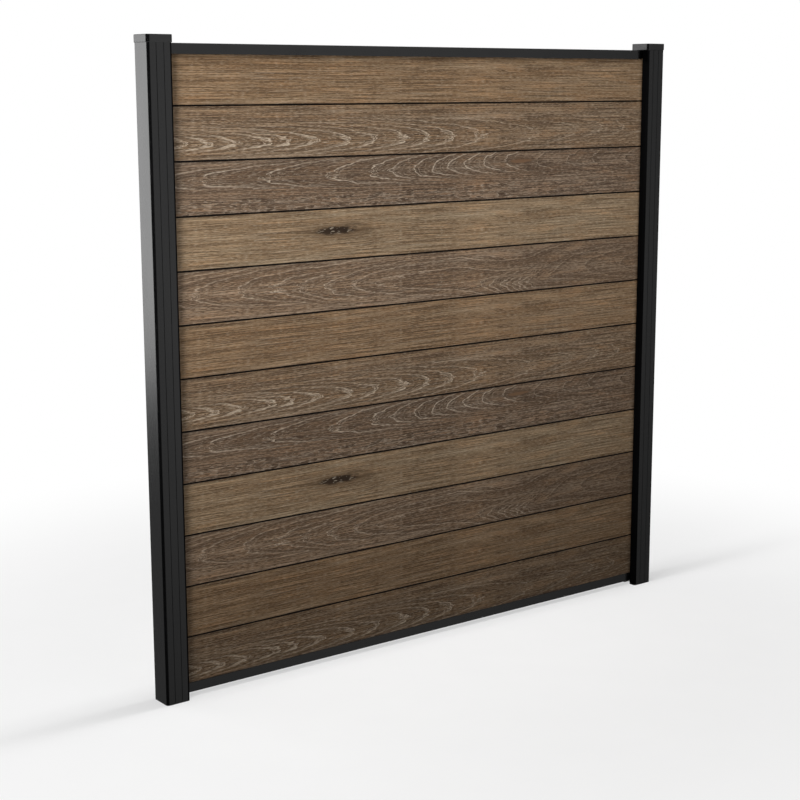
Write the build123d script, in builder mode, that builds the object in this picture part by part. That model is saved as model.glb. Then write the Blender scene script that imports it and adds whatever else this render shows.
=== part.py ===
"""One bay of slotted post fence: stacked tongue and groove planks between two extruded posts.

Frame: origin on the ground below the middle of the bay, X along the bay, front face towards -Y,
Z up, millimetres.
"""

import os
from math import sqrt

from build123d import *

# Bay
clear_width = 1796.0
ground_clearance = 13.2

# Planks
plank_count = 12
plank_pitch = 150.0
plank_thickness = 20.0
shadow_gap = 4.0
plank_edge_chamfer = 1.0
neck_width = 12.0
tongue_width = 8.0
tongue_height = 8.0
tongue_chamfer = 1.5
tongue_side_clearance = 0.5
tongue_tip_clearance = 1.0
plank_face_wall = 4.6
plank_web = 4.5
plank_head_wall = 5.5
chamber_count = 5
chamber_chamfer = 3.0

# Rails
rail_wall = 1.8
rail_cover = 11.0
rail_head_clearance = 4.0
rail_plank_fit = 0.4
rail_neck_fit = 0.6
rail_corner_radius = 1.2
ledge_thickness = 1.8

# Posts
post_size = 75.0
post_wall = 2.0
post_corner_radius = 7.0
slot_depth = 20.0
slot_fit = 0.6
slot_base_wall = 3.0
slot_web = 2.0
port_radius = 2.5
port_wall = 1.7
line_offset = 11.5
line_depth = 0.8

# Post caps
cap_height = 21.2
cap_wall = 1.8
cap_top_wall = 2.5
cap_fit = 0.2
cap_rail_clearance = 0.4
cap_lug_fit = 0.3
cap_top_chamfer = 1.2
cap_skirt_chamfer = 0.9

# Rail brackets and their screws
bracket_thickness = 3.0
bracket_side_fit = 0.5
bracket_bend_radius = 2.0
screw_radius = 2.1
screw_length = 14.0
screw_tip = 4.0
screw_head_flats = 8.0
screw_head_height = 2.8
screw_head_chamfer = 0.5
screw_thread_fit = 0.05
screw_hole_fit = 0.5
screw_head_gap = 0.4
screw_spacing = 18.0
end_clearance = 2.2

# Sections and places that follow from the sizes above
plank_body = plank_pitch - shadow_gap
groove_width = tongue_width + 2 * tongue_side_clearance
groove_depth = tongue_height + tongue_tip_clearance
plank_top = plank_pitch + tongue_height

rail_inner = plank_thickness + 2 * rail_plank_fit
rail_width = rail_inner + 2 * rail_wall
rail_seat = rail_wall + rail_head_clearance + tongue_height + shadow_gap
rail_height = rail_seat + rail_cover
ledge_reach = (rail_inner - neck_width) / 2 - rail_neck_fit

slot_width = rail_width + 2 * slot_fit
end_gap = bracket_thickness + screw_head_height + end_clearance
panel_length = clear_width + 2 * (slot_depth - end_gap)

first_plank_z = ground_clearance + rail_seat
top_shoulder_z = first_plank_z + plank_count * plank_pitch - shadow_gap
top_rail_z = top_shoulder_z + rail_seat
cap_bottom = top_rail_z + cap_rail_clearance
post_top = cap_bottom + cap_height - cap_top_wall

post_x = (clear_width + post_size) / 2
slot_base_x = clear_width / 2 + slot_depth
bracket_z = ground_clearance - bracket_thickness
screw_inset = bracket_thickness + bracket_bend_radius + screw_head_flats / sqrt(3) + screw_head_gap
bracket_height = 2 * screw_inset + screw_spacing
screw_heights = (bracket_z + screw_inset, bracket_z + screw_inset + screw_spacing)

sides = (("left", -1), ("right", 1))


def across_bay(height, up):
    """Plane at the left end of planks and rails, local y upwards for up 1, downwards for up -1."""
    return Plane(origin=(-panel_length / 2, 0, height), x_dir=(0, up, 0), z_dir=(1, 0, 0))


def post_section(side, height):
    """Level plane on a post's axis, local x towards the middle of the bay."""
    return Plane(origin=(side * post_x, 0, height), x_dir=(-side, 0, 0), z_dir=(0, 0, 1))


def slot_base(side):
    """Upright plane on a slot's base, local x upwards from the ground, normal into the post."""
    return Plane(origin=(side * slot_base_x, 0, 0), x_dir=(0, 0, 1), z_dir=(side, 0, 0))


def save(piece, name):
    """Label a finished piece and write it as its own node."""
    piece.part.label = name
    export_step(piece.part, f"parts/{name}.step")


os.makedirs("parts", exist_ok=True)

# Planks: hollow extrusions, tongue up, whose lips stand on the neck of the plank below
chamber_zone = plank_body - groove_depth - 2 * plank_head_wall
chamber_height = (chamber_zone - (chamber_count - 1) * plank_web) / chamber_count
chamber_pitch = chamber_height + plank_web
chamber_middle = groove_depth + plank_head_wall + chamber_zone / 2

with BuildSketch() as chamber:
    Rectangle(plank_thickness - 2 * plank_face_wall, chamber_height)
    chamfer(chamber.vertices(), chamber_chamfer)

for number in range(1, plank_count + 1):
    plank_z = first_plank_z + (number - 1) * plank_pitch
    with BuildPart() as plank:
        with BuildSketch(across_bay(plank_z, 1)):
            with BuildLine():
                Polyline(
                    (0, groove_depth),
                    (groove_width / 2, groove_depth),
                    (groove_width / 2, 0),
                    (plank_thickness / 2 - plank_edge_chamfer, 0),
                    (plank_thickness / 2, plank_edge_chamfer),
                    (plank_thickness / 2, plank_body - plank_edge_chamfer),
                    (plank_thickness / 2 - plank_edge_chamfer, plank_body),
                    (neck_width / 2, plank_body),
                    (neck_width / 2, plank_pitch),
                    (tongue_width / 2, plank_pitch),
                    (tongue_width / 2, plank_top - tongue_chamfer),
                    (tongue_width / 2 - tongue_chamfer, plank_top),
                    (0, plank_top),
                )
                mirror(about=Plane.YZ)
            make_face()
            with Locations((0, chamber_middle)):
                with GridLocations(0, chamber_pitch, 1, chamber_count):
                    add(chamber.sketch, mode=Mode.SUBTRACT)
        extrude(amount=panel_length)
    save(plank, f"plank_{number:02d}")

# Rails: one channel section with two inner ledges, mouth up below the planks, mouth down above them
for name, web_z, up in (("bottom_rail", ground_clearance, 1), ("top_rail", top_rail_z, -1)):
    with BuildPart() as rail:
        with BuildSketch(across_bay(web_z, up)) as section:
            with Locations((0, rail_height / 2)):
                Rectangle(rail_width, rail_height)
            fillet(section.vertices().group_by(Axis.Y)[0], rail_corner_radius)
            with Locations((0, (rail_height + rail_wall) / 2)):
                Rectangle(rail_inner, rail_height - rail_wall, mode=Mode.SUBTRACT)
            with Locations((0, rail_seat - ledge_thickness / 2)):
                with GridLocations(rail_inner - ledge_reach, 0, 2, 1):
                    Rectangle(ledge_reach, ledge_thickness)
        extrude(amount=panel_length)
    save(rail, name)

# Posts: one hollow section, slotted on the side that faces the bay, turned round for the right post
side_chamber_width = (post_size - slot_width) / 2 - slot_web - post_wall
side_chamber_y = (slot_width + side_chamber_width) / 2 + slot_web
core_length = post_size - slot_depth - slot_base_wall - post_wall
core_x = (core_length - post_size) / 2 + post_wall
port_block = 2 * (port_radius + port_wall)
port_spacing = post_size - 2 * post_wall - port_block

for name, side in sides:
    with BuildPart() as post:
        with BuildSketch(post_section(side, 0)):
            RectangleRounded(post_size, post_size, post_corner_radius)
            with Locations(((post_size - slot_depth) / 2, 0)):
                Rectangle(slot_depth, slot_width, mode=Mode.SUBTRACT)
            with Locations((core_x, 0)):
                Rectangle(core_length, slot_width, mode=Mode.SUBTRACT)
            with GridLocations(0, 2 * side_chamber_y, 1, 2):
                Rectangle(post_size - 2 * post_wall, side_chamber_width, mode=Mode.SUBTRACT)
            with GridLocations(port_spacing, port_spacing, 2, 2):
                Rectangle(port_block, port_block)
                Circle(port_radius, mode=Mode.SUBTRACT)
            with GridLocations(2 * line_offset, post_size, 2, 2):
                Rectangle(sqrt(2) * line_depth, sqrt(2) * line_depth, rotation=45, mode=Mode.SUBTRACT)
        extrude(amount=post_top)
        with BuildSketch(slot_base(side)):
            with Locations(*((height, 0) for height in screw_heights)):
                Circle(screw_radius + screw_thread_fit)
        extrude(amount=slot_base_wall, mode=Mode.SUBTRACT)
    save(post, f"{name}_post")

# Post caps: sleeves over the post tops, with a lug that fills the slot and keeps the top rail down
cap_size = post_size + 2 * (cap_fit + cap_wall)
lug_depth = slot_depth - cap_lug_fit + cap_fit
lug_width = slot_width - 2 * cap_lug_fit
lug_x = post_size / 2 + cap_fit - lug_depth / 2

for name, side in sides:
    with BuildPart() as cap:
        with BuildSketch(post_section(side, cap_bottom)):
            RectangleRounded(cap_size, cap_size, post_corner_radius + cap_fit + cap_wall)
        extrude(amount=cap_height)
        chamfer(cap.faces().sort_by(Axis.Z)[-1].edges(), cap_top_chamfer)
        chamfer(cap.faces().sort_by(Axis.Z)[0].edges(), cap_skirt_chamfer)
        with BuildSketch(post_section(side, cap_bottom)):
            RectangleRounded(post_size + 2 * cap_fit, post_size + 2 * cap_fit, post_corner_radius + cap_fit)
        extrude(amount=post_top - cap_bottom, mode=Mode.SUBTRACT)
        with BuildSketch(post_section(side, cap_bottom)):
            with Locations((lug_x, 0)):
                Rectangle(lug_depth, lug_width)
                Rectangle(lug_depth - 2 * cap_wall, lug_width - 2 * cap_wall, mode=Mode.SUBTRACT)
        extrude(amount=post_top - cap_bottom)
    save(cap, f"{name}_post_cap")

# Rail brackets: folded angles that stand in the slots and carry the ends of the bottom rail
for name, side in sides:
    bracket_origin = (side * slot_base_x, 0, bracket_z)
    with BuildPart() as bracket:
        with BuildSketch(Plane(origin=bracket_origin, x_dir=(-side, 0, 0), z_dir=(0, side, 0))):
            with BuildLine():
                FilletPolyline(
                    (bracket_thickness / 2, bracket_height),
                    (bracket_thickness / 2, bracket_thickness / 2),
                    (slot_depth, bracket_thickness / 2),
                    radius=bracket_bend_radius + bracket_thickness / 2,
                )
            trace(line_width=bracket_thickness)
        extrude(amount=slot_width / 2 - bracket_side_fit, both=True)
        with BuildSketch(slot_base(side)):
            with Locations(*((height, 0) for height in screw_heights)):
                Circle(screw_radius + screw_hole_fit)
        extrude(amount=-bracket_thickness, mode=Mode.SUBTRACT)
    save(bracket, f"{name}_rail_bracket")

# Bracket screws: one hexagon head screw, set four times with its head towards the bay
with BuildPart() as screw:
    with BuildSketch():
        RegularPolygon(screw_head_flats / 2, 6, major_radius=False)
    extrude(amount=screw_head_height)
    chamfer(screw.faces().sort_by(Axis.Z)[-1].edges(), screw_head_chamfer)
    with BuildSketch(Plane.XZ):
        with BuildLine():
            Polyline(
                (0, 0),
                (screw_radius, 0),
                (screw_radius, screw_tip - screw_length),
                (0, -screw_length),
                close=True,
            )
        make_face()
    revolve(axis=Axis.Z)

head_x = slot_base_x - bracket_thickness
screw_seats = [
    Plane(origin=(side * head_x, 0, height), z_dir=(-side, 0, 0))
    for _, side in sides
    for height in screw_heights
]
with BuildPart() as screws:
    with Locations(*screw_seats):
        add(screw.part)
save(screws, "bracket_screws")
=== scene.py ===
# %% [markdown]
# # A fence panel, dressed over its solids
#
# The real object is one bay of a privacy fence: twelve embossed planks, tongue in groove, stacked
# between two slotted posts and closed by a channel rail above and below. The solids already hold every
# piece at its place and size. This lesson adds what the eye reads first: the oak figure pressed into
# each plank, the satin powder coat of the metal, and a plain studio around it.
#
# The frame comes first, because every later size is measured from it and nothing is fitted by eye.

# %% Load the frame
from math import pi, radians

import bpy
import numpy as np
from mathutils import Euler, Matrix, Vector
from mathutils.geometry import tessellate_polygon


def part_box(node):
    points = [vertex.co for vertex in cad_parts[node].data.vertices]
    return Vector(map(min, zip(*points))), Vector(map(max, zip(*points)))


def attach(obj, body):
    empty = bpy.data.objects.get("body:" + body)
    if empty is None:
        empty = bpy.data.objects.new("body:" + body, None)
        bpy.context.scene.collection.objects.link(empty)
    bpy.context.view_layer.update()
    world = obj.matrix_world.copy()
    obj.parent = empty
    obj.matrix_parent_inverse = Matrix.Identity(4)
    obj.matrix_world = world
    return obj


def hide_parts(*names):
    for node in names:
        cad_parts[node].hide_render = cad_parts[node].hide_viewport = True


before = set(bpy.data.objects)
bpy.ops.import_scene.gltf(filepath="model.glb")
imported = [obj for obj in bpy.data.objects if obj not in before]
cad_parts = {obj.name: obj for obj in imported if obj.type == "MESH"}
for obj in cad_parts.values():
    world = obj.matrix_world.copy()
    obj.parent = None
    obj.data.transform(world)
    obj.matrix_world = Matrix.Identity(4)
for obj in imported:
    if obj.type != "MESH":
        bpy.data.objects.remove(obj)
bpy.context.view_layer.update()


# %% [markdown]
# ## Sizes read from the solids
#
# A plank's length, height and thickness are the box of its solid, and the clear width of the bay is the
# distance between the posts. Only the small steps of the tongue and the groove are named here, in
# metres, because a box can't show them.

# %% Measure the planks and the bay
PLANK_COUNT = 12
PLANKS = [f"plank_{number:02d}" for number in range(PLANK_COUNT, 0, -1)]

plank_low, plank_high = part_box("plank_01")
bay_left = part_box("left_post")[1].x
bay_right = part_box("right_post")[0].x
BAY_WIDTH = bay_right - bay_left
HALF_THICKNESS = (plank_high.y - plank_low.y) / 2

TONGUE_HEIGHT = 0.008
TONGUE_HALF = 0.004
TONGUE_CHAMFER = 0.0015
SHADOW_GAP = 0.004
NECK_HALF = 0.006
GROOVE_HALF = 0.0045
GROOVE_DEPTH = 0.009
EDGE_CHAMFER = 0.001
FACE_HEIGHT = plank_high.z - plank_low.z - TONGUE_HEIGHT - SHADOW_GAP

print(f"bay {BAY_WIDTH:.3f} m wide, plank face {FACE_HEIGHT:.3f} m high")

# %% [markdown]
# ## Shader maths as plain expressions
#
# A node tree is a sum written with boxes and wires. It is easier to read as a sum, so one small class
# wraps an output socket and gives it arithmetic: `1 - mask` adds the Math node that does it. Every other
# kind of node comes from a single method, which sets the node's own options before its sockets, because
# the options decide which sockets exist.


# %% A socket with arithmetic
class Wire:
    """An output socket of a node tree. Arithmetic on wires and numbers adds Math nodes to the tree."""

    def __init__(self, tree, socket=None):
        self.tree = tree
        self.socket = socket

    def node(self, kind, settings=None, sockets=None, output=0):
        """Adds a node: its settings, then a value or a wire for each socket, by name or by place."""
        made = self.tree.nodes.new(kind)
        for name, value in (settings or {}).items():
            setattr(made, name, value)
        for name, value in (sockets or {}).items():
            live = [socket for socket in made.inputs if socket.enabled]
            names = [socket.name for socket in live]
            target = live[name if isinstance(name, int) else names.index(name)]
            if isinstance(value, Wire):
                self.tree.links.new(value.socket, target)
            else:
                target.default_value = value
        live = [socket for socket in made.outputs if socket.enabled]
        return Wire(self.tree, live[output] if isinstance(output, int) else made.outputs[output])

    def math(self, operation, *others):
        """One Math node with this wire first."""
        return self.node("ShaderNodeMath", {"operation": operation}, dict(enumerate((self, *others))))

    def __add__(self, other):
        return self.math("ADD", other)

    def __mul__(self, other):
        return self.math("MULTIPLY", other)

    def __sub__(self, other):
        return self.math("SUBTRACT", other)

    def __rsub__(self, other):
        return (self * -1.0) + other

    def __pow__(self, other):
        return self.math("POWER", other)

    __radd__ = __add__
    __rmul__ = __mul__

    def fraction(self):
        """What is left of a value above the whole number below it."""
        return self.math("FRACT")

    def size(self):
        """The value without its sign."""
        return self.math("ABSOLUTE")

    def step(self, low, high):
        """A smooth step: 0 up to low, 1 from high on, and falling where low is the larger."""
        ends = {"Value": self, "From Min": low, "From Max": high}
        return self.node("ShaderNodeMapRange", {"interpolation_type": "SMOOTHSTEP"}, ends)

    def bell(self, width):
        """A bell curve of the value, 1 at zero and about a third at the width."""
        return ((self * (1 / width)) ** 2.0 * -1.0).math("EXPONENT")

    def part(self, axis):
        """One component of a vector, 0 to 2."""
        return self.node("ShaderNodeSeparateXYZ", None, {0: self}, axis)

    def stretched(self, *factors):
        """A vector with each component multiplied."""
        return self.node("ShaderNodeVectorMath", {"operation": "MULTIPLY"}, {0: self, 1: factors})

    def blend(self, first, second):
        """A colour between two, by this wire as the share of the second."""
        colours = {"Factor": self, "A": first, "B": second}
        return self.node("ShaderNodeMix", {"data_type": "RGBA", "clamp_factor": True}, colours)

    def noise(self, detail, roughness=0.5, plane=True):
        """Smooth noise of this wire as a place, one swell to each unit."""
        settings = {"noise_dimensions": "2D" if plane else "3D"}
        sockets = {"Vector": self, "Scale": 1.0, "Detail": detail, "Roughness": roughness}
        return self.node("ShaderNodeTexNoise", settings, sockets)


def new_finish(name, **constants):
    """A material, the start of its expressions, and its shader with constants on its own sockets."""
    material = bpy.data.materials.new(name)
    material.use_nodes = True
    shader = material.node_tree.nodes["Principled BSDF"]
    for socket, value in constants.items():
        shader.inputs[socket.replace("_", " ")].default_value = value
    return material, Wire(material.node_tree), shader


def feed(shader, **wires):
    """Links each wire to the shader's socket of that name."""
    for socket, wire in wires.items():
        wire.tree.links.new(wire.socket, shader.inputs[socket.replace("_", " ")])


print("shader expressions ready")

# %% [markdown]
# ## Where the oak figure comes from
#
# A flat-sawn board cuts through the tree's rings at a slant, so each ring shows as an arch, and the
# arches nest like stacked Vs along the board. A noise texture never gives that. Here each point of the
# face is asked how many arches it lies inside, and how far it is on the way to the next one. The count
# then rises smoothly over the face, and a line is drawn wherever it is whole.
#
# Distances run along the board from the left post and down from its upper edge, in metres. A slow ripple
# bends all arches a little, because no tree grows in clean curves.


# %% Rings of a sawn board
FAR_ARCHES = 12
LEAST_GAP = 1e-9
BENT_ALONG = 0.004
BENT_ACROSS = 0.001
SMALL_STEP = 1e-5
WIDEST_RING = 0.4


def ripple(along, down, seed, long_wave, short_wave, waves=10):
    """Smooth uneven field around zero: the sum of cosine waves with random slopes and starts."""
    rng = np.random.default_rng(seed)
    turn_along = rng.normal(0, 2 * pi / long_wave, waves)
    turn_down = rng.normal(0, 2 * pi / short_wave, waves)
    start = rng.uniform(0, 2 * pi, waves)
    phase = along[..., None] * turn_along + down[..., None] * turn_down + start
    return np.cos(phase).sum(-1) / np.sqrt(waves / 2)


def opening(across, share, flat):
    """How wide an arch must be to hold a point at a across: share a^2 (1 + a^2 / flat^2)."""
    return share * across**2 * (1 + (across / flat) ** 2)


def arches(along, down, tips, reach, tip_down, points, upper, lower):
    """Count of the nested arches that a point lies inside, with its share of the way to the next.

    Arch n has its tip at tips[n] on the line tip_down and opens from there as x = reach opening(across).
    reach is a pair of lists: places along the board, and the reach of the arches there. points is 1 for
    tips that point right and -1 for left. upper and lower are the share and the flat of opening() on
    either side. Some evenly spaced arches go on beyond both ends of the list.
    """
    along = along + BENT_ALONG * ripple(along, down, 3, 0.10, 0.03)
    across = down + BENT_ACROSS * ripple(along, down, 5, 0.14, 0.05) - tip_down
    wide = np.where(across < 0, opening(across, *upper), opening(across, *lower))
    ends = np.diff(tips).mean() * np.arange(1, FAR_ARCHES + 1)
    places = np.concatenate([tips[0] - ends[::-1], tips, tips[-1] + ends])[:: -points]
    inside = -points * (along[..., None] - places) / np.interp(places, *reach)
    gap = np.maximum(inside[..., :-1] - inside[..., 1:], LEAST_GAP)
    return np.clip((inside[..., :-1] - wide[..., None]) / gap, 0, 1).sum(-1)


def ring_width(count, along, down):
    """Distance between rings square to their lines: one over the steepness of the count."""
    here = count(along, down)
    rise_along = (count(along + SMALL_STEP, down) - here) / SMALL_STEP
    rise_down = (count(along, down + SMALL_STEP) - here) / SMALL_STEP
    return 1 / np.maximum(np.hypot(rise_along, rise_down), 1 / WIDEST_RING)


def around(along, down, middle, half_length, half_height):
    """Distance from an oval's middle, where its rim is 1."""
    return np.hypot((along - middle[0]) / half_length, (down - middle[1]) / half_height)


def bell(value, width):
    """A bell curve, 1 at zero and about a third at the width."""
    return np.exp(-((value / width) ** 2))


print("ring fields ready")

# %% [markdown]
# ## Five figures for twelve planks
#
# The emboss roller that makes such planks carries a few boards' worth of figure and then repeats. From
# the top down the order is straight grain, arches that point right, arches that point left, straight
# grain round a knot, and arches round a long island, and then the same five again.
#
# Each figure is one function of the face. It gives the ring count, the width of a ring, how much pale
# lime the pores hold, how dark the wood is, the height of the fibre that passes through each point, and
# how near the point is to the line of the tips. The two straight figures come first: their rings are
# almost level, and the knot parts them.


# %% Straight grain
KNOT_MIDDLE = (0.545, 0.062)
KNOT_HALF = (0.062, 0.0115)
STRAIGHT_RING = 0.012
STRAIGHT_STREAKS = ((0.078, 0.0014), (0.085, 0.0011), (0.036, 0.0011), (0.110, 0.0010))
KNOT_STREAKS = ((0.030, 0.0012), (0.112, 0.0014))
KNOT_RIPPLES = ((2.2, 0.10), (2.9, 0.12), (3.7, 0.14), (4.6, 0.16))
RIPPLES_ALONG = 0.655


def level_streaks(along, down, seed, places):
    """Dark share of thin level streaks: a bell down the face at each place, broken along the grain."""
    streaks = 0 * along
    for place, width in places:
        wave = 0.002 * ripple(along, down, seed, 0.6, 0.3)
        broken = np.clip(0.45 + 0.55 * ripple(along, down, seed + 1, 0.25, 0.02), 0, 1)
        streaks = streaks + broken * bell(down - place - wave, width)
        seed = seed + 2
    return streaks


def straight_figure(along, down):
    """Rings almost level: the count is the depth over a ring's width, bent by a slow wave."""
    fibre = down + 0.0018 * ripple(along, down, 21, 1.4, 0.3)
    dark = 0.5 * level_streaks(along, fibre, 61, STRAIGHT_STREAKS)
    lime = np.clip(0.25 + 0.3 * ripple(along, down, 23, 0.35, 0.03) + 0.25 * (along - 0.6), 0, 1)
    return fibre / STRAIGHT_RING, np.full_like(along, STRAIGHT_RING), lime, dark, fibre, 0 * along


def knot_figure(along, down):
    """Straight grain that parts round a knot, as water flows round a stone: y (1 - 0.92 / r squared).

    Dark wood lies in a streak through the knot, in ripples below its right side and in tails behind it.
    """
    near = np.maximum(around(along, down, KNOT_MIDDLE, *KNOT_HALF), 1.0)
    fibre = KNOT_MIDDLE[1] + (down - KNOT_MIDDLE[1]) * (1 - 0.92 / near**2)
    fibre = fibre + 0.0015 * ripple(along, down, 41, 1.0, 0.25)
    lime = np.clip(0.25 + 0.25 * ripple(along, down, 42, 0.3, 0.03), 0, 1)
    beside = bell(down - KNOT_MIDDLE[1] - 0.002, 0.0035) * bell(along - KNOT_MIDDLE[0] - 0.04, 0.13)
    low = sum(bell(near - place, width) for place, width in KNOT_RIPPLES)
    low = low * bell(along - RIPPLES_ALONG, 0.055) * np.clip((down - KNOT_MIDDLE[1]) / 0.006, 0, 1)
    streaks = level_streaks(along, fibre, 71, KNOT_STREAKS)
    tail = bell(near - 1.8, 0.28) * np.clip((along - KNOT_MIDDLE[0]) / 0.06, 0, 1)
    dark = 0.9 * beside + 0.5 * low + 0.4 * tail + 0.3 * streaks
    return fibre / STRAIGHT_RING, np.full_like(along, STRAIGHT_RING), lime, dark, fibre, 0 * along


print("straight grain ready")

# %% [markdown]
# ## Arches that point along the board
#
# An arched figure is given by where its tips lie, how far each arch reaches and how the line of the tips
# wanders down the face. The tips are uneven, as in a tree with good and poor years. Lime is thickest near
# the line of the tips and fades towards the plainer end of the board.


# %% Arched grain
def right_figure(along, down):
    """Arches pointing right, low on the face, which drift up and open out towards the right end."""
    tips = (
        0.056, 0.130, 0.215, 0.320, 0.390, 0.482, 0.600, 0.694,
        0.806, 0.900, 0.985, 1.106, 1.332, 1.500, 1.615, 1.717,
    )
    reach = (0.2, 0.4, 0.6, 0.8, 1.0), (205, 160, 120, 92, 78)
    tip_down = np.interp(along, (0, 1.35, 1.5, 1.8), (0.102, 0.098, 0.086, 0.079))

    def count(along, down):
        return arches(along, down, tips, reach, tip_down, 1, (1.0, 0.08), (1.3, 0.08))

    tip = bell(down - tip_down, 0.014)
    fading = np.interp(along, (0, 1.1, 1.3, 1.8), (1, 1, 0.6, 0.4))
    lime = (0.32 + 0.68 * bell(down - tip_down, 0.018)) * fading
    return count(along, down), ring_width(count, along, down), lime, 0 * along, down, tip


def left_figure(along, down):
    """Arches pointing left, high on the face, over straight grain that fans out from them."""
    tips = (
        0.072, 0.300, 0.526, 0.672, 0.750, 0.832, 0.906, 0.970,
        1.035, 1.109, 1.198, 1.330, 1.470, 1.576, 1.723,
    )
    reach = (0.1, 0.3, 0.55, 0.7, 0.9, 1.2), (190, 110, 95, 75, 62, 62)
    bends = (0, 0.55, 0.75, 0.9, 1.2, 1.8)
    tip_down = np.interp(along, bends, (0.051, 0.049, 0.044, 0.041, 0.029, 0.034))

    def count(along, down):
        return arches(along, down, tips, reach, tip_down, -1, (1.0, 0.2), (1.0, 0.045))

    tip = bell(down - tip_down, 0.012) * np.interp(along, (0, 0.75, 0.85), (1, 1, 0.25))
    fading = np.interp(along, (0, 1.2, 1.3, 1.8), (1, 1, 0.35, 0.2))
    lime = (0.30 + 0.70 * bell(down - tip_down, 0.026)) * fading
    brown = np.interp(along, (0, 0.3, 1.2, 1.4), (0.2, 1, 1, 0.1))
    dark = 0.25 * bell(down - tip_down - 0.002, 0.016) * brown
    fibre = tip_down + (down - tip_down) / (1 + 0.5 * np.minimum(along, 0.6))
    return count(along, down), ring_width(count, along, down), lime, dark, fibre, tip


def island_figure(along, down):
    """Arches pointing left, a long plain island, and behind it a run of arches that sine waves sway."""
    tips = (
        0.055, 0.200, 0.330, 0.412, 0.508, 0.606, 0.691, 1.110, 1.150,
        1.200, 1.222, 1.246, 1.272, 1.300, 1.400, 1.550, 1.720,
    )
    reach = (0.6, 0.69, 1.0, 1.11), (72, 235, 235, 60)
    bends = (0, 0.4, 0.5, 0.7, 1.0, 1.2, 1.3, 1.5)
    tip_down = np.interp(along, bends, (0.066, 0.066, 0.078, 0.077, 0.088, 0.122, 0.124, 0.085))

    def count(along, down):
        sway = 0.012 * np.sin(2 * pi * down / 0.05) + 0.006 * np.sin(2 * pi * down / 0.019)
        shifted = along + bell(along - 1.22, 0.14) * sway
        return arches(shifted, down, tips, reach, tip_down, -1, (1.0, 0.2), (1.0, 0.06))

    tip = bell(down - tip_down, 0.014) * np.interp(along, (0, 0.65, 0.7), (1, 1, 0.3))
    fading = np.interp(along, (0, 1.3, 1.38, 1.8), (1, 1, 0.35, 0.2))
    lime = (0.34 + 0.50 * bell(down - tip_down, 0.026)) * fading
    island = 0.25 * bell(along - 0.93, 0.2) * bell(down - 0.078, 0.02)
    pin_knot = 0.9 * bell(along - 0.593, 0.008) * bell(down - 0.021, 0.0022)
    dark = island + np.interp(along, (1.0, 1.3), (0, 0.26)) + pin_knot
    fibre = tip_down + (down - tip_down) / (1 + 0.35 * np.minimum(along, 1.8 - along))
    return count(along, down), ring_width(count, along, down), lime, dark, fibre, tip


FIGURES = {
    "straight": straight_figure,
    "right": right_figure,
    "left": left_figure,
    "knot": knot_figure,
    "island": island_figure,
}
print("figures", ", ".join(FIGURES))

# %% [markdown]
# ## The plank as a section carried along the bay
#
# A plank is an extrusion, so its skin is a closed section repeated along its length. The section keeps
# the solid's tongue, neck, chamfers and groove, and its two faces get many more rows, close enough
# together to press the figure in for real: ring lines lie up to a few tenths of a millimetre deep. The
# rows are close and the columns are wide apart, because grain changes quickly across a board and slowly
# along it.


# %% The section and the skin
FACE_ROWS = 97
COLUMNS = 153
CHAMBERS = 5
CHAMBER_HALF = (0.0054, 0.00995)
CHAMBER_CHAMFER = 0.003
CHAMBER_PITCH = 0.0244
CHAMBER_MIDDLE = 0.0775


def plank_section():
    """The closed section as y, z and a mark that is 1 on the two faces, from the tongue down the back.

    Half of it is a list of corners with an even run of rows for the face, and the front is its mirror.
    """
    shoulder = FACE_HEIGHT
    top = FACE_HEIGHT + SHADOW_GAP + TONGUE_HEIGHT
    face_z = np.linspace(shoulder - EDGE_CHAMFER, EDGE_CHAMFER, FACE_ROWS)
    above = [
        (TONGUE_HALF - TONGUE_CHAMFER, top),
        (TONGUE_HALF, top - TONGUE_CHAMFER),
        (TONGUE_HALF, shoulder + SHADOW_GAP),
        (NECK_HALF, shoulder + SHADOW_GAP),
        (NECK_HALF, shoulder),
        (HALF_THICKNESS - EDGE_CHAMFER, shoulder),
    ]
    below = [(HALF_THICKNESS - EDGE_CHAMFER, 0), (GROOVE_HALF, 0), (GROOVE_HALF, GROOVE_DEPTH)]
    face = np.column_stack([np.full(FACE_ROWS, HALF_THICKNESS), face_z])
    half = np.concatenate([above, face, below])
    mark = np.concatenate([np.zeros(len(above)), np.ones(FACE_ROWS), np.zeros(len(below))])
    outline = np.concatenate([half, half[::-1] * (-1, 1)])
    return outline[:, 0], outline[:, 1], np.concatenate([mark, mark[::-1]])


def chamber_corners():
    """Corners of the five hollow chambers in the section: rectangles with their corners cut off."""
    across, high = CHAMBER_HALF
    cut = CHAMBER_CHAMFER
    y = np.array([across - cut, across, across, across - cut])
    z = np.array([high, high - cut, cut - high, -high])
    y = np.concatenate([y, -y[::-1]])
    z = np.concatenate([z, z[::-1]])
    middles = CHAMBER_MIDDLE + CHAMBER_PITCH * (np.arange(CHAMBERS) - (CHAMBERS - 1) / 2)
    return np.tile(y, (CHAMBERS, 1)), middles[:, None] + z


def ring_faces(rows, columns, first=0):
    """Quads of a skin whose rows close into a ring, with their front outwards."""
    row = np.arange(rows)[:, None] * columns
    after = np.roll(row, -1, axis=0)
    column = np.arange(columns - 1)[None, :]
    corners = [row + column, row + column + 1, after + column + 1, after + column]
    return first + np.stack(corners, -1).reshape(-1, 4)


section_y, section_z, on_face = plank_section()
columns_x = np.linspace(plank_low.x, plank_high.x, COLUMNS)
print(len(section_y), "rows by", COLUMNS, "columns of skin")
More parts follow.
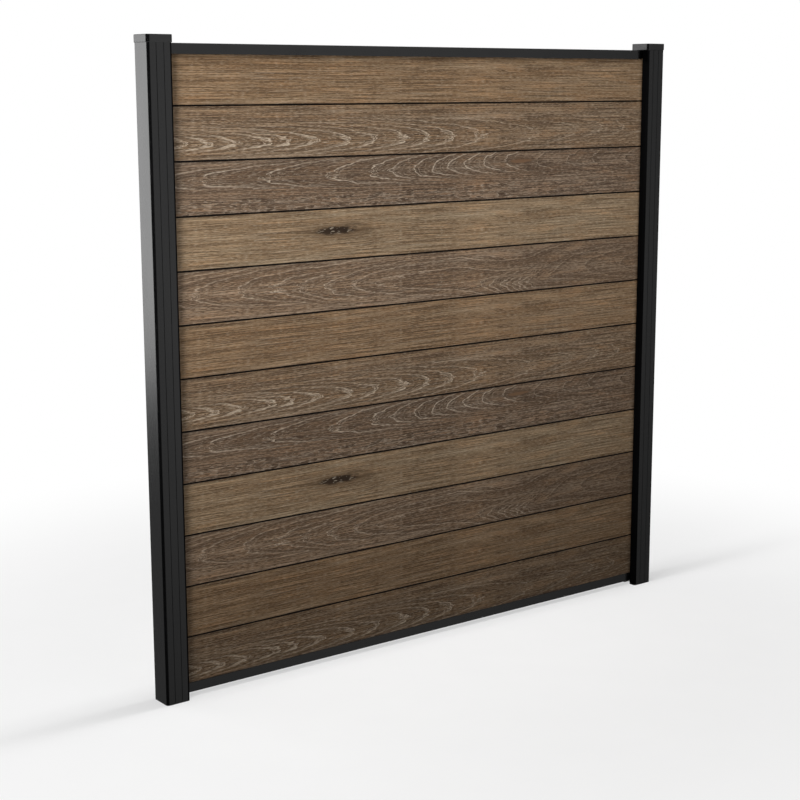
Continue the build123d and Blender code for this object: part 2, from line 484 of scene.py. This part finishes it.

# %% [markdown]
# ## Pressing a figure into the skin
#
# The figure of the front runs from the left post, and the back shows the same figure to someone who
# stands behind it. The skin keeps three readings for the finish: where the point lies in the grain, which
# ring it is on, and the shares of lime, dark wood and near-black core. The core share also covers the
# tongue, the neck and the groove, so it paints the shade in the seams between planks. The depth of the
# relief comes from the same rings, so that the colour and the shape agree. It is pressed inwards and
# fades at the edges.


# %% Fields on the skin
RING_DEPTH = 0.00022
RING_HALF = 0.004
BRUSHED_DEPTH = 0.00010
EDGE_FADE = 0.003
# Inside this distance from the middle, the section takes the near-black core: partly the composite's dark
# core, partly painted shade in the seams.
CORE_AND_SEAM_SHADE_FROM = HALF_THICKNESS - 0.6 * EDGE_CHAMFER


def skin_fields(figure):
    """The grain place, ring place, shares and relief depth of one figure over the whole skin.

    The relief is a bell round each ring line, as deep as the lime is thick, and a brushed ripple.
    """
    x, z = np.meshgrid(columns_x, section_z)
    front = section_y[:, None] < 0
    along = np.where(front, x - bay_left, bay_right - x)
    down = np.clip(FACE_HEIGHT - z, 0, FACE_HEIGHT)
    ring, width, lime, dark, fibre, tip = figure(along, down)
    line = np.abs((ring + 0.5) % 1 - 0.5) * width
    pressed = RING_DEPTH * lime * bell(line, RING_HALF)
    brushed = BRUSHED_DEPTH * (0.5 + 0.25 * ripple(along, fibre, 7, 0.3, 0.006, 24))
    rim = np.clip(np.minimum(down, FACE_HEIGHT - down) / EDGE_FADE, 0, 1)
    depth = (pressed + np.clip(brushed, 0, None)) * rim * on_face[:, None]
    core_and_seam_shade = np.broadcast_to((np.abs(section_y) < CORE_AND_SEAM_SHADE_FROM)[:, None], x.shape)
    grain = np.stack([along, fibre, tip], -1)
    shares = np.stack([lime, dark, core_and_seam_shade], -1)
    rings = np.stack([ring, width, down], -1)
    return {"grain": grain, "rings": rings, "shares": shares}, depth


fields = {name: skin_fields(figure) for name, figure in FIGURES.items()}
for name, (_, depth) in fields.items():
    print(f"{name} relief up to {1000 * depth.max():.2f} mm deep")

# %% [markdown]
# ## Closing the ends and laying out the map
#
# The ends are closed with triangles between the section and its five chambers, which run through the
# plank as they do in the solid. The map that the finish is baked on gives the two faces nearly all the
# room: the length of a plank takes the whole width, the edges are squeezed, and the ends and chambers
# share a narrow band above them. Faces and map are the same for all planks, so they are made once.


# %% Ends, faces and map
MAP_RIM = 0.004
EDGE_ROOM = 0.3
END_BAND = 0.93
END_LEFT = 0.1
END_ACROSS = 1.5
END_UP = 0.4


def plank_map():
    """Map places of the skin: across by the length, up by the way round the section, edges squeezed."""
    step = np.hypot(np.diff(section_y), np.diff(section_z))
    both_face = on_face[1:] * on_face[:-1]
    way = np.concatenate([[0], np.cumsum(step * np.where(both_face > 0, 1.0, EDGE_ROOM))])
    v = MAP_RIM + (END_BAND - 2 * MAP_RIM) * way / way[-1]
    u = MAP_RIM + (1 - 2 * MAP_RIM) * (columns_x - columns_x[0]) / (columns_x[-1] - columns_x[0])
    return np.stack(np.meshgrid(u, v), -1)


def end_triangles(outline_y, outline_z, hole_y, hole_z):
    """Triangles between the section and its chambers, turned so that their front faces along the bay."""
    loops = [np.column_stack([outline_y, outline_z])]
    loops += [np.column_stack([y, z]) for y, z in zip(hole_y, hole_z)]
    found = np.array(tessellate_polygon([np.pad(loop, ((0, 0), (0, 1))).tolist() for loop in loops]))
    points = np.concatenate(loops)
    a, b, c = (points[found[:, k]] for k in range(3))
    turn = (b[:, 0] - a[:, 0]) * (c[:, 1] - a[:, 1]) - (b[:, 1] - a[:, 1]) * (c[:, 0] - a[:, 0])
    found[turn < 0] = found[turn < 0][:, ::-1]
    return found


def plank_faces():
    """Quads of the skin and the chambers, and triangles of the two ends.

    Points are counted along the rows of the skin, and then two to each corner of a chamber.
    """
    rows = len(section_y)
    skin_size = rows * COLUMNS
    bore_corners = CHAMBERS * CHAMBER_SIDES
    bore_starts = skin_size + 2 * CHAMBER_SIDES * np.arange(CHAMBERS)
    bores = [ring_faces(CHAMBER_SIDES, 2, first)[:, ::-1] for first in bore_starts]
    near = np.concatenate([np.arange(rows) * COLUMNS, skin_size + 2 * np.arange(bore_corners)])
    far = near + np.concatenate([np.full(rows, COLUMNS - 1), np.ones(bore_corners, int)])
    ends = end_triangles(section_y, section_z, chamber_y, chamber_z)
    quads = np.concatenate([ring_faces(rows, COLUMNS), *bores])
    return quads, np.concatenate([near[ends][:, ::-1], far[ends]])


chamber_y, chamber_z = chamber_corners()
CHAMBER_SIDES = chamber_y.shape[1]
skin_map = plank_map()
plank_quads, plank_triangles = plank_faces()
print(len(plank_quads), "quads of skin and chambers,", len(plank_triangles), "triangles at the ends")

# %% [markdown]
# ## Building one plank
#
# The corners of the skin and of the chambers are whole arrays, so one call fills the mesh. The readings
# become attributes of its points. Smooth shading stops at sharp edges, so the tongue stays crisp.


# %% Plank mesh
SHARP_ANGLE = 30.0
BORE_READINGS = {"grain": (0, 0, 0), "rings": (0, 0, 0), "shares": (0, 0, 1)}


def plank_points(foot, depth):
    """Corners of skin and chambers: the section carried along, its faces moved in by the relief."""
    y = section_y[:, None] - np.sign(section_y)[:, None] * depth
    z = np.broadcast_to(foot + section_z[:, None], y.shape)
    x = np.broadcast_to(columns_x[None, :], y.shape)
    skin = np.stack([x, y, z], -1).reshape(-1, 3)

    bore_x = np.broadcast_to(columns_x[[0, -1]], (CHAMBERS, CHAMBER_SIDES, 2))
    bore_y = np.broadcast_to(chamber_y[..., None], bore_x.shape)
    bore_z = np.broadcast_to(foot + chamber_z[..., None], bore_x.shape)
    bores = np.stack([bore_x, bore_y, bore_z], -1).reshape(-1, 3)
    return np.concatenate([skin, bores])


def add_readings(mesh, readings):
    """Keeps each reading as a vector on the points, with the near-black core, a painted shade, in the
    chambers.
    """
    for key, reading in readings.items():
        skin = reading.reshape(-1, 3)
        bores = np.tile(BORE_READINGS[key], (len(mesh.vertices) - len(skin), 1))
        layer = mesh.attributes.new(key, "FLOAT_VECTOR", "POINT")
        layer.data.foreach_set("vector", np.concatenate([skin, bores]).ravel())


def add_map(mesh, points, foot):
    """Lays the skin out by its map, and the ends and chambers as they are seen from the end."""
    corner = np.empty(len(mesh.loops), np.int32)
    mesh.loops.foreach_get("vertex_index", corner)
    end_u = END_LEFT + END_ACROSS * points[:, 1]
    end_v = END_BAND + END_UP * (points[:, 2] - foot)
    end_map = np.column_stack([end_u, end_v])
    flat_map = skin_map.reshape(-1, 2)
    places = np.concatenate([flat_map, end_map[len(flat_map):]])[corner]
    first_end = 4 * len(plank_quads)
    places[first_end:] = end_map[corner[first_end:]]
    mesh.uv_layers.new(name="OFBake").uv.foreach_set("vector", places.astype(np.float32).ravel())


def build_plank(name, foot, depth, readings):
    """A plank at the height of its foot, with the relief pressed into its faces."""
    points = plank_points(foot, depth)
    mesh = bpy.data.meshes.new(name)
    mesh.from_pydata(points, [], [*plank_quads.tolist(), *plank_triangles.tolist()])
    mesh.polygons.foreach_set("use_smooth", np.ones(len(mesh.polygons), bool))
    mesh.set_sharp_from_angle(angle=radians(SHARP_ANGLE))
    add_readings(mesh, readings)
    add_map(mesh, points, foot)
    plank = bpy.data.objects.new(name, mesh)
    bpy.context.scene.collection.objects.link(plank)
    return plank


print("plank with readings", ", ".join(BORE_READINGS))

# %% [markdown]
# ## Limed, brushed oak
#
# The finish is brushed oak. Fine streaks run along the grain, and broad bands and warm patches shift its
# tone. Dark late wood fades inwards from each ring, and pale lime sits in the pores along the ring lines,
# doubled at the tips of the arches. Short noise gives the pores, some dark and some limed, and long
# threads are drawn where a slower noise passes a level. All of it is drawn in the plank's own grain, so
# the streaks part round the knot. Where rings crowd together their lines fade, as they merge on a board.


# %% Oak finish
# Near-black core colour: partly the composite's own dark core, partly painted shade in the seams and
# chambers.
CORE_AND_SEAM_SHADE_COLOUR = (0.004, 0.003, 0.0025, 1)
KNOT_COLOUR = (0.026, 0.016, 0.010, 1)
FLECK_COLOUR = (0.30, 0.25, 0.19, 1)
STREAK_CONTRAST = 4.4
BAND_CONTRAST = 0.7
LINE_HALF = 0.0017
BESIDE_HALF = 0.0016
WITHIN_HALF = 0.0011
LATE_FADE = 0.022
THREAD_HALF = 0.055


def oval(across, down, middle, half):
    """Distance from an oval's middle, where its rim is 1."""
    x = (across - middle[0]) * (1 / half[0])
    y = (down - middle[1]) * (1 / half[1])
    return (x * x + y * y).math("SQRT")


def oak_finish(name, pale, deep, grey, lime, line_share, dash_share, pore_share, late_share, mark=None):
    """Oak between two browns, drifting to a grey, with limed ring lines and limed and dark pores.

    The shares say how strong the ring lines, the limed pores, the dark pores and the dark late wood just
    inside a ring are. mark is an oval's middle, half sizes, colour and share of pale flecks. Noise is
    stretched to so many swells to the metre along the grain and across it.
    """
    material, start, shader = new_finish(name, Specular_IOR_Level=0.14)
    grain = start.node("ShaderNodeAttribute", {"attribute_name": "grain"}, None, "Vector")
    rings = start.node("ShaderNodeAttribute", {"attribute_name": "rings"}, None, "Vector")
    shares = start.node("ShaderNodeAttribute", {"attribute_name": "shares"}, None, "Vector")
    count, width, down = (rings.part(axis) for axis in range(3))
    tip = grain.part(2)

    streaks = grain.stretched(4, 540, 1).noise(3.0, 0.6)
    bands = grain.stretched(1.6, 42, 1).noise(3.0, 0.5)
    threads = grain.stretched(2.2, 105, 1).noise(2.0, 0.5)
    pores = grain.stretched(62, 560, 1).noise(2.0, 0.5)
    patches = grain.stretched(7, 45, 1).noise(2.0, 0.5)
    ragged = grain.stretched(18, 150, 1).noise(2.0, 0.5)
    fine = grain.stretched(16, 900, 1).noise(3.0, 0.6)

    uneven = (ragged - 0.5) * (0.15 + tip * 0.6)
    roomy = width.step(0.003, 0.012)

    def stroke(shift, half_width, times=1):
        """Lines of a half width in metres, shifted by a share of a ring, so many times in a ring."""
        turn = ((count + uneven - shift) * times + 0.5).fraction() - 0.5
        return (turn * width * (1 / times)).bell(half_width)

    def thread(level):
        """Long thin lines where the slow noise passes a level, broken along the grain."""
        return (threads - level).size().step(THREAD_HALF, 0.0) * ragged.step(0.38, 0.58)

    beside = (stroke(0.11, BESIDE_HALF) * 0.8 + stroke(0.22, BESIDE_HALF) * 0.6) * tip
    lines = ((stroke(0, LINE_HALF) + beside) * roomy).math("MINIMUM", 1.0)
    within = width.step(0.010, 0.030) * ragged.step(0.40, 0.60)
    late = ((count + uneven).fraction() * width * (-1 / LATE_FADE)).math("EXPONENT")
    late = late * (1 - lines) * roomy

    tone = 0.5 + (streaks - 0.5) * STREAK_CONTRAST + (bands - 0.5) * BAND_CONTRAST
    wood = bands.step(0.40, 0.66).blend(tone.blend(deep, pale), tone.blend(deep, grey))
    warm = (pale[0] * 1.08, pale[1] * 0.90, pale[2] * 0.72, 1)
    wood = (patches.step(0.52, 0.70) * 0.35).blend(wood, tone.blend(deep, warm))
    shade = late * late_share + stroke(0.125, WITHIN_HALF, 4) * within * 0.45
    shade = shade + (thread(0.43) + thread(0.57)) * 0.7 + pores.step(0.45, 0.29) * pore_share
    wood = shade.blend(wood, deep)
    chalk = lines * (0.3 + 0.7 * pores.step(0.36, 0.56)) + stroke(0, WITHIN_HALF, 4) * within * 0.4
    chalk = shares.part(0) * chalk * line_share
    chalk = chalk + (pores.step(0.55, 0.72) + thread(0.64) * 0.7) * dash_share
    wood = chalk.blend(wood, lime)
    dark = shares.part(1) * streaks.step(0.36, 0.60)
    wood = dark.blend(wood, KNOT_COLOUR)
    if mark:
        middle, half, colour, flecks = mark
        place = start.node("ShaderNodeCombineXYZ", None, {"X": grain.part(0), "Y": down})
        torn = place.stretched(28, 160, 1).noise(3.0, 0.6) - 0.5
        rim = oval(grain.part(0), down, middle, half) + torn * 1.3
        wood = (rim.step(3.0, 1.0) * (0.10 + streaks * 0.7)).blend(wood, deep)
        wood = (rim.step(1.4, 0.75) * (0.6 + streaks * 0.6)).blend(wood, colour)
        pale_flecks = place.stretched(48, 190, 1).noise(1.0, 0.5).step(0.60, 0.68) * rim.step(1.1, 0.7)
        wood = (pale_flecks * flecks).blend(wood, FLECK_COLOUR)
    # Painted shade: the tongue, neck, groove and chambers take the near-black core colour, so the seams
    # read dark.
    wood = shares.part(2).blend(wood, CORE_AND_SEAM_SHADE_COLOUR)

    height = streaks * 0.6 + fine * 0.5 - lines * shares.part(0) * 0.5
    bump = start.node("ShaderNodeBump", None, {"Strength": 0.35, "Distance": 0.0004, "Height": height})
    feed(shader, Base_Color=wood, Roughness=0.78 - fine * 0.2, Normal=bump)
    return material


print("oak finish ready")

# %% [markdown]
# ## Five oaks
#
# The straight boards and the knotted ones are light, with little lime in their lines. The arched boards
# are greyer, with white lime along the rings and brown late wood inside them. The knot is nearly black
# with pale flecks, and a small brown eye lies among the arches that point left.

# %% Oak colours
EYE_MIDDLE = (1.262, 0.031)
EYE_HALF = (0.036, 0.0055)
EYE_COLOUR = (0.150, 0.086, 0.048, 1)

OAK = {
    "straight": oak_finish(
        "straight_oak",
        pale=(0.335, 0.213, 0.117, 1),
        deep=(0.085, 0.051, 0.027, 1),
        grey=(0.305, 0.208, 0.123, 1),
        lime=(0.42, 0.34, 0.25, 1),
        line_share=0.20, dash_share=0.34, pore_share=0.55, late_share=0.0,
    ),
    "right": oak_finish(
        "right_arched_oak",
        pale=(0.294, 0.191, 0.110, 1),
        deep=(0.070, 0.043, 0.025, 1),
        grey=(0.276, 0.193, 0.122, 1),
        lime=(0.52, 0.43, 0.325, 1),
        line_share=1.0, dash_share=0.28, pore_share=0.75, late_share=0.35,
    ),
    "left": oak_finish(
        "left_arched_oak",
        pale=(0.264, 0.173, 0.108, 1),
        deep=(0.065, 0.041, 0.026, 1),
        grey=(0.243, 0.173, 0.118, 1),
        lime=(0.47, 0.39, 0.30, 1),
        line_share=1.0, dash_share=0.28, pore_share=0.7, late_share=0.6,
        mark=(EYE_MIDDLE, EYE_HALF, EYE_COLOUR, 0.0),
    ),
    "knot": oak_finish(
        "knotted_oak",
        pale=(0.375, 0.256, 0.150, 1),
        deep=(0.106, 0.067, 0.037, 1),
        grey=(0.332, 0.245, 0.154, 1),
        lime=(0.46, 0.39, 0.29, 1),
        line_share=0.20, dash_share=0.34, pore_share=0.55, late_share=0.0,
        mark=(KNOT_MIDDLE, KNOT_HALF, KNOT_COLOUR, 0.9),
    ),
    "island": oak_finish(
        "island_oak",
        pale=(0.358, 0.238, 0.146, 1),
        deep=(0.088, 0.055, 0.034, 1),
        grey=(0.330, 0.238, 0.160, 1),
        lime=(0.50, 0.41, 0.31, 1),
        line_share=0.75, dash_share=0.28, pore_share=0.75, late_share=0.7,
    ),
}
print("oak finishes", ", ".join(OAK))

# %% [markdown]
# ## Stacking the twelve planks
#
# Each new plank stands exactly where its solid is and takes its place. The solid stays in the frame
# for weight and contact, and only its look is handed over.

figure_names = list(FIGURES)
triangle_count = 0
for number, node in enumerate(PLANKS):
    figure = figure_names[number % len(figure_names)]
    readings, depth = fields[figure]
    plank = build_plank(f"{node}_grained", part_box(node)[0].z, depth, readings)
    plank.data.materials.append(OAK[figure])
    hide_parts(node)
    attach(plank, "root")
    triangle_count += len(plank.data.loops) - 2 * len(plank.data.polygons)
print(PLANK_COUNT, "planks,", triangle_count, "triangles in all")

# %% [markdown]
# ## Powder coat, plastic and steel
#
# The posts and rails are extruded aluminium under a satin black powder coat. Powder melts into a skin
# with a faint orange peel, and its sheen drifts a little from place to place. The posts' inner sides look
# into the bay and stand in deep shade, so their coat has no gloss there. The caps are moulded plastic
# with a finer grain, and the hidden brackets and screws are brushed stainless steel. These solids have
# the right shape already, so only their material slots change.


# %% Metal and plastic finishes
POST_INSIDE = 0.9036
DULL_EDGE = 0.003
DULL_ROUGHNESS = 0.9
COAT_LOOK = {
    "dark": (0.0016, 0.0016, 0.0017, 1),
    "light": (0.0034, 0.0034, 0.0036, 1),
    "peel": 1400,
    "roughness": 0.25,
    "gloss": 0.40,
}
PLASTIC_LOOK = {
    "dark": (0.0018, 0.0018, 0.0019, 1),
    "light": (0.0040, 0.0040, 0.0042, 1),
    "peel": 2600,
    "roughness": 0.34,
    "gloss": 0.5,
}


def powder_coat(name, dark, light, peel, roughness, gloss, dull_inside=None):
    """Satin coat: two near blacks, a drifting sheen, and a peel of so many swells to the metre.

    dull_inside is the distance from the middle of the bay inside which the coat has no gloss.
    """
    material, start, shader = new_finish(name, Specular_IOR_Level=gloss)
    place = start.node("ShaderNodeTexCoord", None, None, "Object")
    drift = place.stretched(9, 9, 2.5).noise(3.0, 0.5, plane=False)
    skin = place.stretched(peel, peel, peel).noise(2.0, 0.5, plane=False)
    sheen = roughness + (drift - 0.5) * 0.16 + (skin - 0.5) * 0.10
    colour = (0.5 + (drift - 0.5) * 1.2 + (skin - 0.5) * 0.8).blend(dark, light)
    bump = start.node("ShaderNodeBump", None, {"Strength": 0.12, "Distance": 0.0002, "Height": skin})
    feed(shader, Base_Color=colour, Roughness=sheen, Normal=bump)
    if dull_inside:
        sockets = {"Base Color": colour, "Roughness": DULL_ROUGHNESS, "Specular IOR Level": 0.0}
        dull = start.node("ShaderNodeBsdfPrincipled", None, sockets)
        inside = place.part(0).size().step(dull_inside + DULL_EDGE, dull_inside)
        satin = Wire(start.tree, shader.outputs[0])
        mixed = start.node("ShaderNodeMixShader", None, {0: inside, 1: satin, 2: dull})
        start.tree.links.new(mixed.socket, start.tree.nodes["Material Output"].inputs["Surface"])
    return material


def brushed_steel(name):
    """Stainless steel with fine brush marks across the fold."""
    material, start, shader = new_finish(name, Metallic=1.0)
    place = start.node("ShaderNodeTexCoord", None, None, "Object")
    marks = place.stretched(900, 25, 900).noise(3.0, 0.6, plane=False)
    colour = marks.blend((0.42, 0.42, 0.41, 1), (0.62, 0.62, 0.61, 1))
    bump = start.node("ShaderNodeBump", None, {"Strength": 0.1, "Distance": 0.0001, "Height": marks})
    feed(shader, Base_Color=colour, Roughness=0.22 + marks * 0.2, Normal=bump)
    return material


COAT = powder_coat("black_powder_coat", **COAT_LOOK)
POST_COAT = powder_coat("black_post_coat", **COAT_LOOK, dull_inside=POST_INSIDE)
PLASTIC = powder_coat("black_cap_plastic", **PLASTIC_LOOK)
STEEL = brushed_steel("brushed_stainless")
FINISHED = {
    "left_post": POST_COAT,
    "right_post": POST_COAT,
    "top_rail": COAT,
    "bottom_rail": COAT,
    "left_post_cap": PLASTIC,
    "right_post_cap": PLASTIC,
    "left_rail_bracket": STEEL,
    "right_rail_bracket": STEEL,
    "bracket_screws": STEEL,
}
for node, material in FINISHED.items():
    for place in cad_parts[node].material_slots:
        place.material = material
print("finished", ", ".join(FINISHED))

# %% [markdown]
# ## A plain studio
#
# The floor and the world are white to the eye, by the path of the ray that looks at them, and the floor
# keeps the soft shadow of the panel. Gloss doesn't see the floor, so the posts keep an even black down to
# their feet. What lights the panel is the lamps, with a little grey from the world and the floor, at a
# level where a colour comes out about as it is written.


# %% Floor and world
FLOOR_HALF = 14.0
FLOOR_DROP = 0.0004
SHADOW_ROOM = (0.8, 2.6)
SKY_LIGHT = 0.10


def seen_directly(start):
    """1 for rays that look at a surface or mirror it or pass through glass to it, else 0."""
    path = start.node("ShaderNodeLightPath", None, None, "Is Camera Ray")
    mirrored = start.node("ShaderNodeLightPath", None, None, "Is Glossy Ray")
    through = start.node("ShaderNodeLightPath", None, None, "Is Transmission Ray")
    return path.math("MAXIMUM", mirrored).math("MAXIMUM", through)


def make_floor():
    """A wide square just under the feet, whose shading gives way to plain white away from the panel."""
    material, start, shader = new_finish("white_floor", Roughness=0.9, Specular_IOR_Level=0.1)
    place = start.node("ShaderNodeTexCoord", None, None, "Object")
    ring = (place.part(0) ** 2.0 + place.part(1) ** 2.0).math("SQRT")
    paper = place.stretched(6, 6, 6).noise(2.0, 0.5, plane=False)
    seen = seen_directly(start)
    grey = paper.blend((0.11, 0.11, 0.11, 1), (0.13, 0.13, 0.13, 1))
    pale = paper.blend((0.78, 0.78, 0.78, 1), (0.82, 0.82, 0.82, 1))
    feed(shader, Base_Color=seen.blend(grey, pale))
    white = start.node("ShaderNodeEmission", None, {"Color": (1, 1, 1, 1), "Strength": 1.0})
    share = seen * (0.5 + 0.5 * ring.step(*SHADOW_ROOM))
    mixed = start.node(
        "ShaderNodeMixShader", None, {0: share, 1: Wire(start.tree, shader.outputs[0]), 2: white}
    )
    output = start.tree.nodes["Material Output"]
    start.tree.links.new(mixed.socket, output.inputs["Surface"])

    corners = FLOOR_HALF * np.array([(-1, -1, 0), (1, -1, 0), (1, 1, 0), (-1, 1, 0)], float)
    corners[:, 2] = -FLOOR_DROP
    mesh = bpy.data.meshes.new("floor")
    mesh.from_pydata(corners, [], [(0, 1, 2, 3)])
    mesh.materials.append(material)
    floor = bpy.data.objects.new("floor", mesh)
    floor.visible_glossy = False
    bpy.context.scene.collection.objects.link(floor)


def make_world():
    """Grey light from all round, white where it is looked at or mirrored."""
    world = bpy.data.worlds.new("studio")
    world.use_nodes = True
    start = Wire(world.node_tree)
    colour = seen_directly(start).blend((SKY_LIGHT, SKY_LIGHT, SKY_LIGHT, 1), (1, 1, 1, 1))
    world.node_tree.links.new(colour.socket, world.node_tree.nodes["Background"].inputs["Color"])
    bpy.context.scene.world = world


make_floor()
make_world()
print("floor", 2 * FLOOR_HALF, "m wide")

# %% [markdown]
# ## Lamps
#
# Four soft lamps. The key stands to the left, and a wider lamp in front. Both aim at the top of the panel
# or above it through grids that narrow their light, so the light falls off down the planks, and the left
# post throws a soft shadow beside it. A long lamp overhead lights the floor and grazes the planks. The
# last stands behind to the left, and it is the only one that gloss sees: the outer face of the left post
# mirrors it.


# %% Lamps
def soft_lamp(name, place, aim, width, height, power, spread=180.0, mirrored=False):
    """A rectangular lamp at a place, turned to its aim: power in watts, spread in degrees."""
    data = bpy.data.lights.new(name, "AREA")
    data.shape = "RECTANGLE"
    data.size = width
    data.size_y = height
    data.energy = power
    data.spread = radians(spread)
    lamp = bpy.data.objects.new(name, data)
    lamp.location = place
    lamp.rotation_euler = (Vector(aim) - Vector(place)).to_track_quat("-Z", "Y").to_euler()
    lamp.visible_camera = False
    lamp.visible_glossy = mirrored
    bpy.context.scene.collection.objects.link(lamp)


soft_lamp("left", (-2.54, -1.29, 1.6), (0.11, 0.0, 2.1), 0.74, 2.0, 28.8, 116)
soft_lamp("front", (0.49, -2.06, 1.3), (0.18, 0.0, 2.65), 2.6, 1.6, 25.8, 142)
soft_lamp("overhead", (0.0, -0.05, 4.6), (0.0, -0.05, 0.0), 3.0, 0.3, 158)
soft_lamp("left_back", (-3.0, 3.4, 1.45), (-0.9, 0.0, 1.1), 2.4, 2.5, 53, mirrored=True)
print("lamps placed")

# %% [markdown]
# ## A dark curtain for the gloss
#
# A satin coat shows its shape by what it mirrors. In an all white room a black post turns flat grey, so
# dark cloth hangs round the panel, out of the picture: the rounded corners then read as fine dark lines.
# The curtain is a ring that only gloss sees, and it throws no shadow. Two stretches of it glow, one in
# front on the right for the posts' fronts, and one behind on the left for the left post's outer face.


# %% Curtain
CURTAIN_RADIUS = 7.0
CURTAIN_HALF = 6.0
CURTAIN_START = 45.0
CURTAIN_TURNS = 73
CURTAIN_GLOW = 1.1


def stage_only(name, points, faces, material):
    """A piece of the studio that the camera never sees."""
    mesh = bpy.data.meshes.new(name)
    mesh.from_pydata(points, [], faces)
    mesh.materials.append(material)
    made = bpy.data.objects.new(name, mesh)
    made.visible_camera = False
    made.visible_transmission = False
    bpy.context.scene.collection.objects.link(made)
    return made


def curtain_finish():
    """A plain glow by the turn round the panel and the height: pale in front on the right and behind."""
    material, start, shader = new_finish("curtain", Base_Color=(0, 0, 0, 1), Specular_IOR_Level=0.0)
    shader.inputs["Emission Strength"].default_value = CURTAIN_GLOW
    map_place = start.node("ShaderNodeUVMap", {"uv_map": "turn"}, None, "UV")
    turn, high = map_place.part(0), map_place.part(1)
    ahead = turn.step(270, 295) * (1 - 0.30 * turn.step(302, 316) - 0.70 * turn.step(318, 328))
    ahead = ahead * (0.47 + 0.53 * high.step(-3.2, 0.6))
    behind = turn.step(85, 105) * turn.step(150, 130) * (0.21 + 0.5 * high.step(-0.6, 0.8))
    feed(shader, Emission_Color=(ahead + behind).blend((0.01, 0.01, 0.01, 1), (1, 1, 1, 1)))
    return material


def hang_curtain():
    """An upright ring of cloth round the panel, with its turn in degrees and its height kept as a map."""
    turn = np.linspace(CURTAIN_START, CURTAIN_START + 360, CURTAIN_TURNS)
    high = np.array([-CURTAIN_HALF, CURTAIN_HALF])
    x = np.broadcast_to(CURTAIN_RADIUS * np.cos(np.radians(turn)), (2, CURTAIN_TURNS))
    y = np.broadcast_to(CURTAIN_RADIUS * np.sin(np.radians(turn)), (2, CURTAIN_TURNS))
    z = np.broadcast_to(high[:, None], (2, CURTAIN_TURNS))
    left = np.arange(CURTAIN_TURNS - 1)
    quads = np.stack([left, left + 1, left + 1 + CURTAIN_TURNS, left + CURTAIN_TURNS], -1)
    points = np.stack([x, y, z], -1).reshape(-1, 3)
    curtain = stage_only("curtain", points, quads.tolist(), curtain_finish())
    curtain.visible_diffuse = False
    curtain.visible_shadow = False
    corner = np.empty(len(curtain.data.loops), np.int32)
    curtain.data.loops.foreach_get("vertex_index", corner)
    places = np.column_stack([np.tile(turn, 2), np.repeat(high, CURTAIN_TURNS)])[corner]
    curtain.data.uv_layers.new(name="turn").uv.foreach_set("vector", places.astype(np.float32).ravel())


hang_curtain()
print("curtain of", CURTAIN_TURNS - 1, "panels")

# %% [markdown]
# ## A flag for the first plank
#
# The rail stands only two millimetres proud of the planks, too little for the soft shade that lies under
# its edge. A narrow flag in front of the rail gives that shade. It is a thin dark strip that neither the
# camera nor the gloss sees, and its lower edge sets where the shade ends.


# %% Flag
FLAG_AHEAD = 0.025
FLAG_DROP = 0.0115


def hold_flag():
    """An upright strip in front of the top rail, from just below its lower edge to its upper edge."""
    rail_low, rail_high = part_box("top_rail")
    ahead = plank_low.y - FLAG_AHEAD
    low = rail_low.z - FLAG_DROP
    points = [(bay_left, ahead, low), (bay_right, ahead, low)]
    points += [(bay_right, ahead, rail_high.z), (bay_left, ahead, rail_high.z)]
    material, start, shader = new_finish("flag_cloth", Roughness=1.0, Specular_IOR_Level=0.0)
    place = start.node("ShaderNodeTexCoord", None, None, "Object")
    cloth = place.stretched(300, 1, 300).noise(2.0, 0.5, plane=False)
    feed(shader, Base_Color=cloth.blend((0.01, 0.01, 0.01, 1), (0.02, 0.02, 0.02, 1)))
    flag = stage_only("flag", points, [(0, 1, 2, 3)], material)
    flag.visible_glossy = False


hold_flag()
print("flag", FLAG_AHEAD, "m in front of the planks")

# %% [markdown]
# ## The camera
#
# The photograph was taken from the left, a little below the top of the posts, with a long lens. The
# place and the turns come from the edges of the posts and the seams between planks.

# %% Camera and colours
CAMERA_PLACE = (-3.1147, -3.9372, 1.7275)
CAMERA_TILT = 79.157
CAMERA_TURN = -37.340
CAMERA_ROLL = -0.137
CAMERA_LENS = 73.57

lens = bpy.data.cameras.new("camera")
lens.lens = CAMERA_LENS
lens.sensor_width = 36.0
lens.clip_end = 100.0
camera = bpy.data.objects.new("camera", lens)
turn = Euler((radians(CAMERA_TILT), 0, radians(CAMERA_TURN))).to_matrix()
camera.rotation_euler = (turn @ Matrix.Rotation(radians(CAMERA_ROLL), 3, "Z")).to_euler()
camera.location = CAMERA_PLACE
bpy.context.scene.collection.objects.link(camera)
bpy.context.scene.camera = camera
bpy.context.scene.view_settings.view_transform = "Standard"
print("camera", CAMERA_PLACE)
